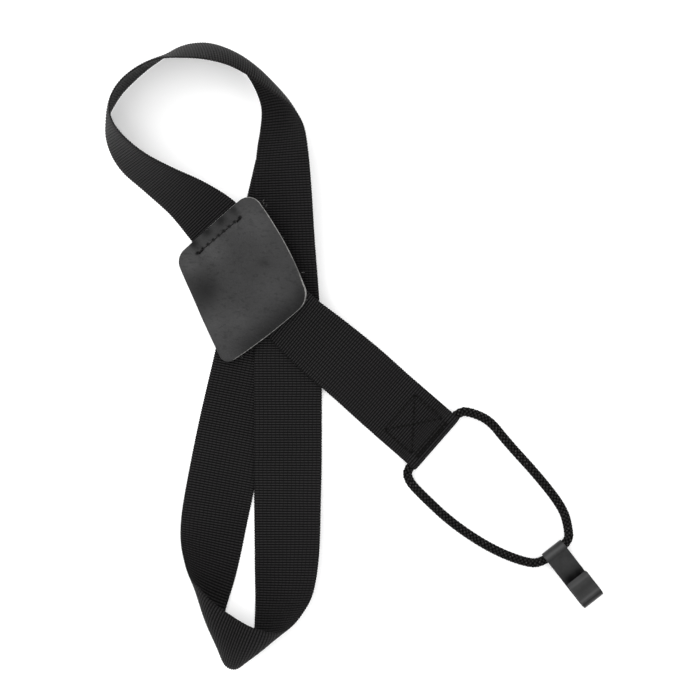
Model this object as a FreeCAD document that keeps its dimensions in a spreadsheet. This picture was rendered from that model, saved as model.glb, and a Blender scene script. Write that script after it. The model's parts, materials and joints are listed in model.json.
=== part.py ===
"""Saxophone neck strap: one long flat webbing laid out in loops, a leather pad sewn over its folded
neck part, a braided cord held in the tail's folded end and an S hook hanging on the cord.

Millimetres, +Z up. The strap lies on its back on a flat surface at z = 0, and the origin is on that
surface under the middle of the strap. The webbing stands on one edge wherever it turns."""

import FreeCAD, Part
import math
import os
import Sketcher
from FreeCAD import Placement, Rotation, Vector

doc = FreeCAD.newDocument("neck_strap")

# Driving dimensions, in millimetres and degrees.
SIZES = {
    "web_width": 38.0,
    "web_thick": 1.4,
    "layer_gap": 0.1,
    "leather_thick": 1.8,
    "pad_side_gap": 0.4,
    "cord_dia": 4.9,
    "tunnel_play": 0.6,
    "return_length": 26.0,
    "tail_flat_length": 35.0,
    "thread_dia": 0.7,
    "stitch_length": 2.8,
    "stitch_pitch": 3.8,
    "hook_width": 13.4,
    "hook_thick": 1.2,
    "eye_play": 0.4,
    "hook_curl_radius": 2.9,
    "hook_tip_radius": 2.2,
}
sheet = doc.addObject("Spreadsheet::Sheet", "sizes")
for row, (alias, value) in enumerate(SIZES.items(), start=1):
    sheet.set(f"A{row}", alias)
    sheet.set(f"B{row}", str(value))
    sheet.setAlias(f"B{row}", alias)
doc.recompute()


def size(alias):
    """A driving dimension, read back from the sheet."""
    return float(getattr(sheet, alias))


# Cross-sections of the webbing, in order from the tail's fold line to the sewn end. Each is a
# straight line across the webbing, from one edge (x, y, z) to the other (x, y, z).
UNDER_PAD = [
    ((-28.5, -7.5, 5.8), (-5.0, 20.0, 15.5)),
    ((-44.0, 7.5, 5.7), (-22.5, 33.5, 22.5)),
    ((-69.0, 37.5, 3.8), (-45.5, 60.5, 22.4)),
    ((-90.0, 64.0, 0.8), (-65.0, 85.5, 19.7)),
]
UPPER_LEFT = [
    ((-102.6, 79.5, 0.6), (-82.5, 96.5, 28.0)),
    ((-116.7, 92.3, 0.5), (-98.8, 103.7, 32.2)),
    ((-131.8, 106.4, 0.4), (-116.1, 113.0, 34.8)),
    ((-137.4, 117.8, 0.3), (-125.6, 120.8, 36.4)),
]
LEFT_TURN = [
    ((-138.8, 127.0, 0.1), (-130.7, 127.0, 37.2)),
    ((-136.9, 134.7, 0.1), (-133.0, 132.5, 37.9)),
    ((-132.5, 143.0, 0.1), (-133.0, 140.5, 38.0)),
    ((-128.0, 149.0, 0.1), (-129.5, 148.0, 38.0)),
    ((-123.5, 153.5, 0.1), (-125.0, 153.0, 38.0)),
    ((-118.0, 158.5, 0.1), (-119.0, 157.5, 38.0)),
    ((-112.5, 163.0, 0.1), (-112.5, 161.0, 38.0)),
    ((-108.0, 166.0, 0.1), (-106.5, 163.0, 38.0)),
]
CROWN = [
    ((-103.2, 169.8, 0.1), (-99.5, 163.5, 37.3)),
    ((-97.2, 173.3, 0.1), (-92.5, 163.5, 36.4)),
    ((-89.5, 175.2, 0.1), (-83.5, 163.0, 35.6)),
    ((-79.8, 174.6, 0.1), (-71.5, 160.5, 34.4)),
    ((-70.4, 168.9, 0.1), (-62.2, 156.4, 35.0)),
    ((-64.6, 163.6, 0.1), (-55.4, 152.2, 34.8)),
]
UPPER_RIGHT = [
    ((-56.6, 152.2, 0.2), (-44.4, 144.8, 34.6)),
    ((-52.0, 137.5, 0.4), (-32.0, 135.5, 32.5)),
    ((-52.5, 128.0, 1.6), (-27.5, 128.0, 30.0)),
    ((-54.0, 117.0, 3.8), (-25.5, 117.5, 28.8)),
    ((-55.0, 104.0, 4.9), (-24.0, 104.0, 26.9)),
    ((-55.0, 90.0, 5.6), (-23.0, 90.0, 26.0)),
]
RIGHT_STRAND = [
    ((-55.5, 65.0, 5.2), (-21.5, 65.0, 22.0)),
    ((-55.5, 36.5, 3.3), (-19.5, 36.5, 14.4)),
    ((-55.7, 4.0, 2.4), (-18.0, 4.0, 4.8)),
    ((-55.7, -24.0, 2.5), (-17.8, -24.0, 2.4)),
    ((-55.7, -58.0, 2.4), (-17.9, -58.0, 3.4)),
    ((-55.7, -80.0, 2.0), (-18.3, -80.0, 7.6)),
    ((-55.5, -113.5, 0.8), (-19.4, -112.5, 12.6)),
]
LOWER_RIGHT_TURN = [
    ((-55.3, -127.0, 0.6), (-21.3, -126.0, 17.5)),
    ((-55.2, -135.5, 0.5), (-23.5, -133.5, 21.4)),
    ((-55.4, -144.0, 0.5), (-28.0, -140.5, 26.4)),
    ((-55.9, -152.5, 0.4), (-33.5, -147.0, 30.5)),
    ((-57.2, -160.5, 0.4), (-40.0, -150.5, 32.5)),
    ((-60.8, -170.2, 0.4), (-47.5, -150.5, 30.1)),
    ((-65.6, -175.2, 0.5), (-54.5, -148.5, 26.1)),
]
LOWER_LEFT_TURN = [
    ((-71.8, -173.4, 0.5), (-62.0, -145.0, 23.9)),
    ((-75.0, -165.2, 0.4), (-69.5, -139.5, 27.6)),
    ((-74.4, -156.3, 0.4), (-77.2, -133.8, 30.6)),
    ((-72.5, -146.6, 0.4), (-84.8, -126.3, 30.1)),
    ((-69.9, -136.9, 0.5), (-90.3, -120.7, 28.1)),
    ((-66.8, -125.5, 0.6), (-93.3, -112.5, 24.2)),
    ((-64.0, -114.0, 0.7), (-95.5, -103.5, 18.7)),
]
LEFT_STRAND = [
    ((-60.5, -97.5, 0.7), (-96.0, -90.5, 12.3)),
    ((-55.5, -73.5, 0.7), (-92.5, -66.0, 4.5)),
    ((-50.5, -48.5, 0.7), (-87.8, -41.0, 0.7)),
    ((-40.0, -2.5, 0.7), (-77.2, 5.0, 0.7)),
    ((-33.0, 28.5, 1.6), (-70.2, 36.0, 0.7)),
]
SEWN_END = [
    ((-28.2, 61.0, 10.4), (-64.6, 69.0, 0.8)),
    ((-27.4, 82.5, 19.6), (-59.6, 90.0, 1.0)),
    ((-25.4, 105.0, 22.4), (-54.2, 110.5, 0.9)),
]
NECK_RUNS = [
    ("webbing_under_pad", UNDER_PAD),
    ("webbing_upper_left", UPPER_LEFT),
    ("webbing_left_turn", LEFT_TURN),
    ("webbing_crown", CROWN),
    ("webbing_upper_right", UPPER_RIGHT),
    ("webbing_right_strand", RIGHT_STRAND),
    ("webbing_lower_right_turn", LOWER_RIGHT_TURN),
    ("webbing_lower_left_turn", LOWER_LEFT_TURN),
    ("webbing_left_strand", LEFT_STRAND),
    ("webbing_sewn_end", SEWN_END),
]

# The least height of the webbing's edge over the surface.
SURFACE_GAP = 0.02

# Halfway between the tail's fold line and its flat part.
TAIL_HALFWAY = ((-10.5, -23.5, 4.4), (14.5, 4.5, 8.4))

# The tail's folded end holds the cord in a tunnel, whose middle is here, on the surface.
TUNNEL_MIDDLE = Vector(43.3, -45.9, 0)
TAIL_TURN = -41.0

# The eye of the hook, on the surface, and the way the hook points.
EYE_MIDDLE = Vector(112.4, -108.9, 0)
HOOK_TURN = -52.0

# The pad's outline, seen from above: its corners and their radii.
PAD_CORNERS = [
    ((-99.7, 55.7), 9.0),
    ((-72.0, -5.4), 5.0),
    ((-22.9, 31.9), 11.0),
    ((-55.7, 92.6), 8.0),
]
# The leather's underside in upright cuts across the pad: each cut's distance along PAD_TURN, and its
# points (distance across, height).
PAD_TURN = -45.0
PAD_CUTS = [
    (-114.0, [(-38.0, 0.6), (-19.6, 1.0), (13.6, 24.8), (28.0, 25.4)]),
    (-106.4, [(-42.0, 0.9), (-20.5, 1.4), (15.5, 21.7), (29.0, 22.8)]),
    (-75.0, [(-50.0, 2.0), (-25.0, 4.1), (11.5, 25.0), (24.0, 25.9)]),
    (-38.5, [(-60.0, 2.3), (-28.0, 6.4), (9.2, 24.4), (21.0, 25.2)]),
    (-30.0, [(-62.0, 2.4), (-28.0, 6.3), (9.5, 22.4), (20.0, 23.6)]),
]
# The line that the pad's flap lifts about. It runs beside the seam, just over the leather.
PAD_FOLD = ((-94.2, 49.2, 4.6), (-50.2, 86.1, 31.0))

# The cord's route, from the middle of the tunnel out through the eye of the hook and back.
CORD_ROUTE = [
    (43.3, -45.9, 4.45),
    (57.4, -29.7, 4.45),
    (66.6, -31.0, 2.8),
    (76.3, -35.7, 2.55),
    (85.0, -46.9, 2.5),
    (103.6, -67.2, 2.5),
    (117.0, -84.6, 2.5),
    (119.8, -96.0, 3.1),
    (119.9, -103.0, 4.05),
    (104.6, -114.9, 4.05),
    (95.5, -114.5, 2.8),
    (77.1, -107.3, 2.5),
    (55.2, -93.1, 2.5),
    (37.7, -76.7, 2.5),
    (30.2, -68.5, 2.8),
    (29.6, -61.7, 4.45),
    (43.0, -46.25, 4.45),
]


def heading(degrees):
    """The level unit vector that points this way, counter-clockwise from +X."""
    return Vector(math.cos(math.radians(degrees)), math.sin(math.radians(degrees)), 0)


def plane_of(body, role):
    """One of the body's own origin planes."""
    return next(f for f in body.Origin.OriginFeatures if f.Role == role)


def new_body(name):
    body = doc.addObject("PartDesign::Body", name)
    body.Label = name
    return body


def new_sketch(body, name, role="XY_Plane"):
    sketch = body.newObject("Sketcher::SketchObject", name)
    sketch.AttachmentSupport = (plane_of(body, role), [""])
    sketch.MapMode = "FlatFace"
    return sketch


def centred_rectangle(sketch, wide_alias, high_alias):
    """A rectangle centred on the sketch's origin, sized by two cells of the sheet."""
    wide = size(wide_alias) / 2
    high = size(high_alias) / 2
    corners = [Vector(-wide, -high, 0), Vector(wide, -high, 0), Vector(wide, high, 0), Vector(-wide, high, 0)]
    for start, end in zip(corners, corners[1:] + corners[:1]):
        sketch.addGeometry(Part.LineSegment(start, end), False)
    for side in range(4):
        sketch.addConstraint(Sketcher.Constraint("Coincident", side, 2, (side + 1) % 4, 1))
    for side, kind in enumerate(("Horizontal", "Vertical", "Horizontal", "Vertical")):
        sketch.addConstraint(Sketcher.Constraint(kind, side))
    sketch.addConstraint(Sketcher.Constraint("Symmetric", 0, 1, 2, 1, -1, 1))
    across = sketch.addConstraint(Sketcher.Constraint("DistanceX", 0, 1, 0, 2, 2 * wide))
    sketch.setExpression(f"Constraints[{across}]", f"sizes.{wide_alias}")
    up = sketch.addConstraint(Sketcher.Constraint("DistanceY", 1, 1, 1, 2, 2 * high))
    sketch.setExpression(f"Constraints[{up}]", f"sizes.{high_alias}")


def section_places(stations):
    """The placement of each station's rectangle: X across the webbing, Z along its run.

    A rectangle whose lowest corner would dip into the surface is lifted onto it."""
    lines = [(Vector(*low), Vector(*high)) for low, high in stations]
    middles = [(low + high) * 0.5 for low, high in lines]
    places = []
    for i, (low, high) in enumerate(lines):
        across = (high - low).normalize()
        along = middles[min(i + 1, len(lines) - 1)] - middles[max(i - 1, 0)]
        along = (along - across * along.dot(across)).normalize()
        normal = along.cross(across)
        reach = abs(across.z) * size("web_width") / 2 + abs(normal.z) * size("web_thick") / 2
        middle = Vector(middles[i].x, middles[i].y, max(middles[i].z, reach + SURFACE_GAP))
        places.append(Placement(middle, Rotation(across, normal, along, "ZXY")))
    return places


def web_run(name, places):
    """A run of webbing: a loft through rectangles at the given placements."""
    body = new_body(name)
    sketches = []
    for i, place in enumerate(places):
        sketch = new_sketch(body, f"{name}_section_{i}")
        sketch.AttachmentOffset = place
        centred_rectangle(sketch, "web_width", "web_thick")
        sketches.append(sketch)
    loft = body.newObject("PartDesign::AdditiveLoft", f"{name}_loft")
    loft.Profile = sketches[0]
    loft.Sections = sketches[1:]
    loft.Ruled = True
    loft.Closed = False
    body.Tip = loft
    return body


def webbing_places():
    """The sections of the whole webbing, from the tail's flat part to the sewn end."""
    toward = heading(TAIL_TURN)
    across = heading(TAIL_TURN + 90) * (size("web_width") / 2)
    flat = TUNNEL_MIDDLE - toward * size("tail_flat_length") + Vector(0, 0, upper_layer_height())
    stations = [(flat - across, flat + across), TAIL_HALFWAY]
    stations += [station for _, run in NECK_RUNS for station in run]
    places = section_places(stations)
    back = toward * -1
    places[0].Rotation = Rotation(across, back.cross(across), back, "ZXY")
    return places


def neck_webbing(places):
    """Every run of the neck webbing. Neighbours share one section, so they meet face to face."""
    start = 2
    for name, run in NECK_RUNS:
        end = start + len(run)
        first = start if name == NECK_RUNS[0][0] else start - 1
        web_run(name, places[first:end])
        start = end


def strip_path(start, turn, moves):
    """Edges of a flat strip's middle line, from moves ("run", length) and ("bend", radius, angle).

    A positive angle bends to the left."""
    edges = []
    here = Vector(*start, 0)
    facing = math.radians(turn)
    for kind, first, *rest in moves:
        forward = Vector(math.cos(facing), math.sin(facing), 0)
        if kind == "run":
            there = here + forward * first
            edges.append(Part.LineSegment(here, there))
        else:
            angle = math.radians(rest[0])
            side = math.copysign(1, angle)
            left = Vector(-forward.y, forward.x, 0) * side
            centre = here + left * first
            half = Rotation(Vector(0, 0, 1), math.degrees(angle / 2)).multVec(here - centre) + centre
            there = Rotation(Vector(0, 0, 1), math.degrees(angle)).multVec(here - centre) + centre
            edges.append(Part.Arc(here, half, there))
            facing += angle
        here = there
    return edges


def strip_body(name, edges, width_alias, thick_alias, place):
    """A flat strip bent to shape: a rectangle swept along a flat path in the body's XZ plane."""
    body = new_body(name)
    path = new_sketch(body, f"{name}_path", "XZ_Plane")
    for edge in edges:
        path.addGeometry(edge, False)
    profile = new_sketch(body, f"{name}_profile")
    first = edges[0].toShape()
    begin = first.valueAt(first.FirstParameter)
    along = first.tangentAt(first.FirstParameter)
    along = Vector(along.x, 0, along.y)
    across = Vector(0, 1, 0)
    profile.AttachmentOffset = Placement(
        Vector(begin.x, 0, begin.y), Rotation(across, along.cross(across), along, "ZXY")
    )
    centred_rectangle(profile, width_alias, thick_alias)
    pipe = body.newObject("PartDesign::AdditivePipe", f"{name}_strip")
    pipe.Profile = profile
    pipe.Spine = (path, [f"Edge{i + 1}" for i in range(len(edges))])
    pipe.Transition = "Transformed"
    body.Tip = pipe
    body.Placement = place
    return body


def fold_radius():
    """Radius of the webbing's middle line round the cord."""
    return size("cord_dia") / 2 + size("tunnel_play") + size("web_thick") / 2


def upper_layer_height():
    return 1.5 * size("web_thick") + size("layer_gap")


def folded_end_moves():
    """The tail's side view, from its flat part up over the cord and back underneath."""
    radius = fold_radius()
    rise_bend = 4.0
    rise_start = 9.5
    drop = radius + size("web_thick") / 2 - upper_layer_height() - rise_bend
    reach = math.hypot(rise_start, drop)
    climb = math.degrees(math.asin((rise_bend + radius) / reach) + math.atan2(drop, rise_start))
    straight = math.sqrt(reach**2 - (rise_bend + radius) ** 2)
    return [
        ("run", size("tail_flat_length") - rise_start),
        ("bend", rise_bend, climb),
        ("run", straight),
        ("bend", radius, -(180.0 + climb)),
        ("run", size("return_length")),
    ]


def tail_webbing(places):
    """The tail from its flat part to just short of the fold line, and its folded end."""
    last = Placement(places[2])
    last.Base -= last.Rotation.multVec(Vector(0, 0, 0.3))
    web_run("tail_webbing", [places[0], places[1], last])
    edges = strip_path((-size("tail_flat_length"), upper_layer_height()), 0, folded_end_moves())
    place = Placement(TUNNEL_MIDDLE, Rotation(Vector(0, 0, 1), TAIL_TURN))
    strip_body("tail_folded_end", edges, "web_width", "web_thick", place)


def rounded_loop(corners):
    """Lines and arcs round a closed outline, from its corners and their radii."""
    count = len(corners)
    pieces = []
    joins = []
    for i, (corner, radius) in enumerate(corners):
        here = Vector(*corner, 0)
        before = (Vector(*corners[i - 1][0], 0) - here).normalize()
        after = (Vector(*corners[(i + 1) % count][0], 0) - here).normalize()
        half = before.getAngle(after) / 2
        inward = (before + after).normalize()
        centre = here + inward * (radius / math.sin(half))
        reach = radius / math.tan(half)
        joins.append((here + before * reach, here + after * reach))
        pieces.append(Part.Arc(joins[-1][0], centre - inward * radius, joins[-1][1]))
    for i in range(count):
        pieces.append(Part.LineSegment(joins[i][1], joins[(i + 1) % count][0]))
    return pieces


def add_box_outline(sketch, low, high):
    corners = [Vector(*low, 0), Vector(high[0], low[1], 0), Vector(*high, 0), Vector(low[0], high[1], 0)]
    for start, end in zip(corners, corners[1:] + corners[:1]):
        sketch.addGeometry(Part.LineSegment(start, end), False)


def cut_away(body, name, sketch):
    """Remove what lies over and under the sketch."""
    pocket = body.newObject("PartDesign::Pocket", name)
    pocket.Profile = sketch
    pocket.Type = "Length"
    pocket.Length = 200.0
    pocket.Midplane = True
    body.Tip = pocket


def leather_outline(points, thick):
    """The closed outline of a bent sheet in an upright cut, from the points of its underside."""
    under = [Vector(*point, 0) for point in points]
    over = []
    for i, point in enumerate(under):
        before = (point - under[max(i - 1, 0)]) if i else (under[1] - point)
        after = (under[min(i + 1, len(under) - 1)] - point) if i < len(under) - 1 else before
        bisector = (before.normalize() + after.normalize()).normalize()
        normal = Vector(-bisector.y, bisector.x, 0)
        reach = thick / max(0.5, normal.dot(Vector(-after.y, after.x, 0)))
        over.append(point + normal * reach)
    return under + over[::-1]


def pad_piece(name, keep_flap):
    """One side of the leather pad: the band sewn down, or the flap beyond the fold line."""
    body = new_body(name)
    sketches = []
    across = heading(PAD_TURN + 90)
    facing = Rotation(across, Vector(0, 0, 1), heading(PAD_TURN), "ZXY")
    for i, (along, points) in enumerate(PAD_CUTS):
        sketch = new_sketch(body, f"{name}_cut_{i}")
        sketch.AttachmentOffset = Placement(heading(PAD_TURN) * along, facing)
        outline = leather_outline(points, size("leather_thick"))
        for start, end in zip(outline, outline[1:] + outline[:1]):
            sketch.addGeometry(Part.LineSegment(start, end), False)
        sketches.append(sketch)
    loft = body.newObject("PartDesign::AdditiveLoft", f"{name}_sheet")
    loft.Profile = sketches[0]
    loft.Sections = sketches[1:]
    loft.Ruled = True
    body.Tip = loft
    outline = new_sketch(body, f"{name}_outline")
    for piece in rounded_loop(PAD_CORNERS):
        outline.addGeometry(piece, False)
    add_box_outline(outline, (-200, -150), (150, 200))
    cut_away(body, f"{name}_trim", outline)
    low, high = [Vector(*point) for point in PAD_FOLD]
    angle = math.degrees(math.atan2(high.y - low.y, high.x - low.x))
    divide = new_sketch(body, f"{name}_divide")
    divide.AttachmentOffset = Placement(Vector(low.x, low.y, 0), Rotation(Vector(0, 0, 1), angle))
    gap = size("pad_side_gap") / 2
    if keep_flap:
        add_box_outline(divide, (-100, -gap), (150, 100))
    else:
        add_box_outline(divide, (-100, -100), (150, gap))
    cut_away(body, f"{name}_part", divide)
    return body


def top_at(shape, x, y):
    """Height of the shape's highest point over (x, y)."""
    line = Part.makeLine(Vector(x, y, -10), Vector(x, y, 60))
    return shape.common(line).BoundBox.ZMax


def stitch(shape, middle, along):
    """One stitch lying on the shape's upper face, from its middle and its way seen from above."""
    half = along * (size("stitch_length") / 2)
    start = middle - half
    end = middle + half
    start.z = top_at(shape, start.x, start.y)
    end.z = top_at(shape, end.x, end.y)
    lift = size("thread_dia") / 2 + 0.1
    cylinder = doc.addObject("Part::Cylinder", "stitch")
    cylinder.setExpression("Radius", "sizes.thread_dia / 2")
    cylinder.setExpression("Height", "sizes.stitch_length")
    cylinder.Placement = Placement(start + Vector(0, 0, lift), Rotation(Vector(0, 0, 1), end - start))
    return cylinder


def seam(shape, start, end):
    """A row of stitches on the shape from start to end, as the sheet's pitch spaces them."""
    length = start.distanceToPoint(end)
    count = max(1, round(length / size("stitch_pitch")))
    along = (end - start) / length
    return [stitch(shape, start + along * (length * (i + 0.5) / count), along) for i in range(count)]


def thread_node(name, stitches):
    """A node of separate stitches."""
    node = doc.addObject("Part::Compound", name)
    node.Label = name
    node.Links = stitches
    return node


def on_tail(along, across):
    """A point seen from above, from its place on the tail's folded end."""
    return TUNNEL_MIDDLE + heading(TAIL_TURN) * along + heading(TAIL_TURN + 90) * across


def threads():
    """The four groups of stitches."""
    band = doc.getObject("pad_seam_band").Shape
    folded = doc.getObject("tail_folded_end").Shape
    upper = doc.getObject("webbing_upper_right").Shape
    thread_node("pad_stitches", seam(band, Vector(-86.9, 57.9, 0), Vector(-62.6, 76.9, 0)))

    far, near, right, left = -23.5, -3.2, 12.8, -13.0
    box = seam(folded, on_tail(far, left), on_tail(far, right))
    box += seam(folded, on_tail(far + 2, left), on_tail(near, left))
    box += seam(folded, on_tail(far + 2, right), on_tail(near, right))
    middle = (far + near) / 2
    for side in (left, right):
        box += seam(folded, on_tail(far + 1.5, side * 0.85), on_tail(middle - 1.2, side * 0.12))
        box += seam(folded, on_tail(middle + 1.2, side * 0.12), on_tail(near - 1, side * 0.85))
    thread_node("box_stitches", box)

    lock = []
    for along in (-1.7, 0.2):
        lock += seam(folded, on_tail(along, left), on_tail(along, right))
    thread_node("cord_lock_stitches", lock)

    end_rows = []
    for y in (101.0, 94.0):
        end_rows += seam(upper, Vector(-51.5, y, 0), Vector(-27.0, y, 0))
    thread_node("end_seam_stitches", end_rows)


def bent_route(points):
    """Straight runs joined by tangent arcs, as large as the runs allow. Prints the radii."""
    corners = [Vector(*point) for point in points]
    edges = []
    here = corners[0]
    radii = []
    for before, corner, after in zip(corners, corners[1:], corners[2:]):
        back = before - corner
        on = after - corner
        reach = 0.45 * min(back.Length, on.Length)
        turn = math.pi - back.getAngle(on)
        radii.append(reach / math.tan(turn / 2))
        start = corner + back.normalize() * reach
        end = corner + on.normalize() * reach
        inward = (back.normalize() + on.normalize()).normalize()
        centre = corner + inward * (radii[-1] / math.cos(turn / 2))
        edges.append(Part.LineSegment(here, start).toShape())
        edges.append(Part.Arc(start, centre - inward * radii[-1], end).toShape())
        here = end
    edges.append(Part.LineSegment(here, corners[-1]).toShape())
    print("cord radii, mm:", ", ".join(f"{radius:.1f}" for radius in radii))
    return Part.Wire(edges)


def cord():
    """The braided cord, as a plain tube."""
    route = doc.addObject("Part::Feature", "cord_route")
    route.Shape = bent_route(CORD_ROUTE)
    section = doc.addObject("Part::Circle", "cord_section")
    section.setExpression("Radius", "sizes.cord_dia / 2")
    start = route.Shape.Edges[0]
    section.Placement = Placement(
        Vector(*CORD_ROUTE[0]), Rotation(Vector(0, 0, 1), start.tangentAt(start.FirstParameter))
    )
    tube = doc.addObject("Part::Sweep", "cord")
    tube.Label = "cord"
    tube.Sections = [section]
    tube.Spine = (route, [f"Edge{i + 1}" for i in range(len(route.Shape.Edges))])
    tube.Solid = True
    doc.recompute()
    expected = math.pi * (size("cord_dia") / 2) ** 2 * route.Shape.Length
    print(f"cord length {route.Shape.Length:.1f} mm, volume {tube.Shape.Volume:.0f} of {expected:.0f} mm3")


def hook():
    """The S hook: one flat strip rolled into an eye round the cord, then curled back over itself."""
    thick = size("hook_thick")
    eye = size("cord_dia") / 2 + size("eye_play") + thick / 2
    slope = 17.0
    roll = 295.0
    level = 8.0
    begin = math.radians(90 - slope + roll)
    shank_top = eye + thick / 2 + eye * math.cos(math.radians(slope))
    drop = shank_top - thick / 2 - level * (1 - math.cos(math.radians(slope)))
    moves = [
        ("bend", eye, -roll),
        ("run", drop / math.sin(math.radians(slope))),
        ("bend", level, slope),
        ("run", 6.9),
        ("bend", size("hook_curl_radius"), 175.0),
        ("run", 11.5),
        ("bend", size("hook_tip_radius"), 32.0),
        ("run", 1.0),
    ]
    start = (eye * math.cos(begin), eye + thick / 2 + eye * math.sin(begin))
    edges = strip_path(start, math.degrees(begin) - 90, moves)
    place = Placement(EYE_MIDDLE, Rotation(Vector(0, 0, 1), HOOK_TURN))
    return strip_body("hook", edges, "hook_width", "hook_thick", place)


places = webbing_places()
neck_webbing(places)
tail_webbing(places)
pad_piece("pad_seam_band", keep_flap=False)
pad_piece("pad_flap", keep_flap=True)
cord()
hook()
doc.recompute()
threads()
doc.recompute()

NODES = [name for name, _ in NECK_RUNS]
NODES += ["tail_webbing", "tail_folded_end", "pad_seam_band", "pad_flap", "pad_stitches", "box_stitches"]
NODES += ["cord_lock_stitches", "end_seam_stitches", "cord", "hook"]

for thing in doc.Objects:
    if "Invalid" in thing.State or "Error" in thing.State:
        raise RuntimeError(f"{thing.Name} failed: {thing.State}")
for name in NODES:
    shape = doc.getObject(name).Shape
    if shape.isNull() or not shape.isValid() or not shape.Solids:
        raise RuntimeError(f"{name} has no valid solid")

os.makedirs("parts", exist_ok=True)
for name in NODES:
    doc.getObject(name).Shape.exportStep(f"parts/{name}.step")

whole = FreeCAD.BoundBox()
for name in NODES:
    if name != "cord":
        whole.add(doc.getObject(name).Shape.BoundBox)
print(f"middle of the box {whole.Center.x:.2f}, {whole.Center.y:.2f}, base {whole.ZMin:.2f}")
print(f"size {whole.XLength:.1f} x {whole.YLength:.1f} x {whole.ZLength:.1f} mm")
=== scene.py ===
"""The looks of a saxophone neck strap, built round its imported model: ribbed webbing, a leather pad,
a braided cord, a flat S hook, stitching, a pale floor and soft light. Metres, +Z up."""

import json
import math
import random

import bmesh
import bpy
import numpy as np
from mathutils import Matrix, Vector


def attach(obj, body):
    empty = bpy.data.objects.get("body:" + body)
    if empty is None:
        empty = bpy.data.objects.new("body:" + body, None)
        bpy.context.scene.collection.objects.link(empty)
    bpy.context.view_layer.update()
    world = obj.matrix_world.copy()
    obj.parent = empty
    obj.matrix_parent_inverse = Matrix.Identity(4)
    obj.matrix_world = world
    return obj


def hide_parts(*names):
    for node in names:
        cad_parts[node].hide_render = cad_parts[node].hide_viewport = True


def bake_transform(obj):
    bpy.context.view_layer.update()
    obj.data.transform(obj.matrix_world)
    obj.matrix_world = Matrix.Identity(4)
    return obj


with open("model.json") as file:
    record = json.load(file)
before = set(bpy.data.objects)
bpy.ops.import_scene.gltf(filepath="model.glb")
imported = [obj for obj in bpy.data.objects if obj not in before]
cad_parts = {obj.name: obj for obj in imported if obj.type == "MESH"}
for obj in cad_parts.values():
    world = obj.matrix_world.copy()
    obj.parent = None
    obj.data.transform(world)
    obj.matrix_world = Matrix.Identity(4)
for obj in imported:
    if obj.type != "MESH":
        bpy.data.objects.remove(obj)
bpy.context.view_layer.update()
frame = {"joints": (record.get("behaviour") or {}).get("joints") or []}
random.seed(7)
noise = np.random.default_rng(7)
MM = 0.001

# ---------------------------------------------------------------- camera, straight down

camera_data = bpy.data.cameras.new("camera")
camera_data.sensor_width = 36.0
camera_data.lens = 138.0
camera_data.clip_end = 10.0
camera = bpy.data.objects.new("camera", camera_data)
camera.location = (-0.00215, 0.0040, 1.5)
bpy.context.scene.collection.objects.link(camera)
bpy.context.scene.camera = camera

# ---------------------------------------------------------------- small helpers


def vec(x, y, z=0.0):
    return np.array((x, y, z), float)


def unit(v):
    return v / np.linalg.norm(v, axis=-1, keepdims=True)


def level(degrees):
    """The level unit vector this way from +X."""
    a = math.radians(degrees)
    return vec(math.cos(a), math.sin(a))


def smooth_step(x, low, high):
    t = np.clip((x - low) / (high - low), 0.0, 1.0)
    return t * t * (3.0 - 2.0 * t)


def mesh_object(name, points, faces, material, uv=None, slots=None):
    """A smooth-shaded mesh from points in millimetres. uv has one pair for each point."""
    mesh = bpy.data.meshes.new(name)
    mesh.from_pydata((np.asarray(points) * MM).tolist(), [], faces)
    mesh.polygons.foreach_set("use_smooth", [True] * len(mesh.polygons))
    if uv is not None:
        layer = mesh.uv_layers.new(name="cloth")
        index = np.zeros(len(mesh.loops), int)
        mesh.loops.foreach_get("vertex_index", index)
        layer.data.foreach_set("uv", np.asarray(uv, float)[index].ravel())
    for m in material if isinstance(material, (list, tuple)) else [material]:
        mesh.materials.append(m)
    if slots is not None:
        mesh.polygons.foreach_set("material_index", slots)
    mesh.validate()
    solid = bmesh.new()
    solid.from_mesh(mesh)
    if solid.calc_volume(signed=True) < 0:
        bmesh.ops.reverse_faces(solid, faces=solid.faces)
        solid.to_mesh(mesh)
    solid.free()
    mesh.update()
    thing = bpy.data.objects.new(name, mesh)
    bpy.context.scene.collection.objects.link(thing)
    return thing


def tube_faces(rings, around, closed_ends=True, offset=0):
    """Quads joining rings of points, and a cap of each end."""
    faces = []
    for i in range(rings - 1):
        for j in range(around):
            a = offset + i * around + j
            b = offset + i * around + (j + 1) % around
            faces.append((a, b, b + around, a + around))
    if closed_ends:
        last = offset + (rings - 1) * around
        faces.append(tuple(range(offset + around - 1, offset - 1, -1)))
        faces.append(tuple(range(last, last + around)))
    return faces


# ---------------------------------------------------------------- materials


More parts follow.
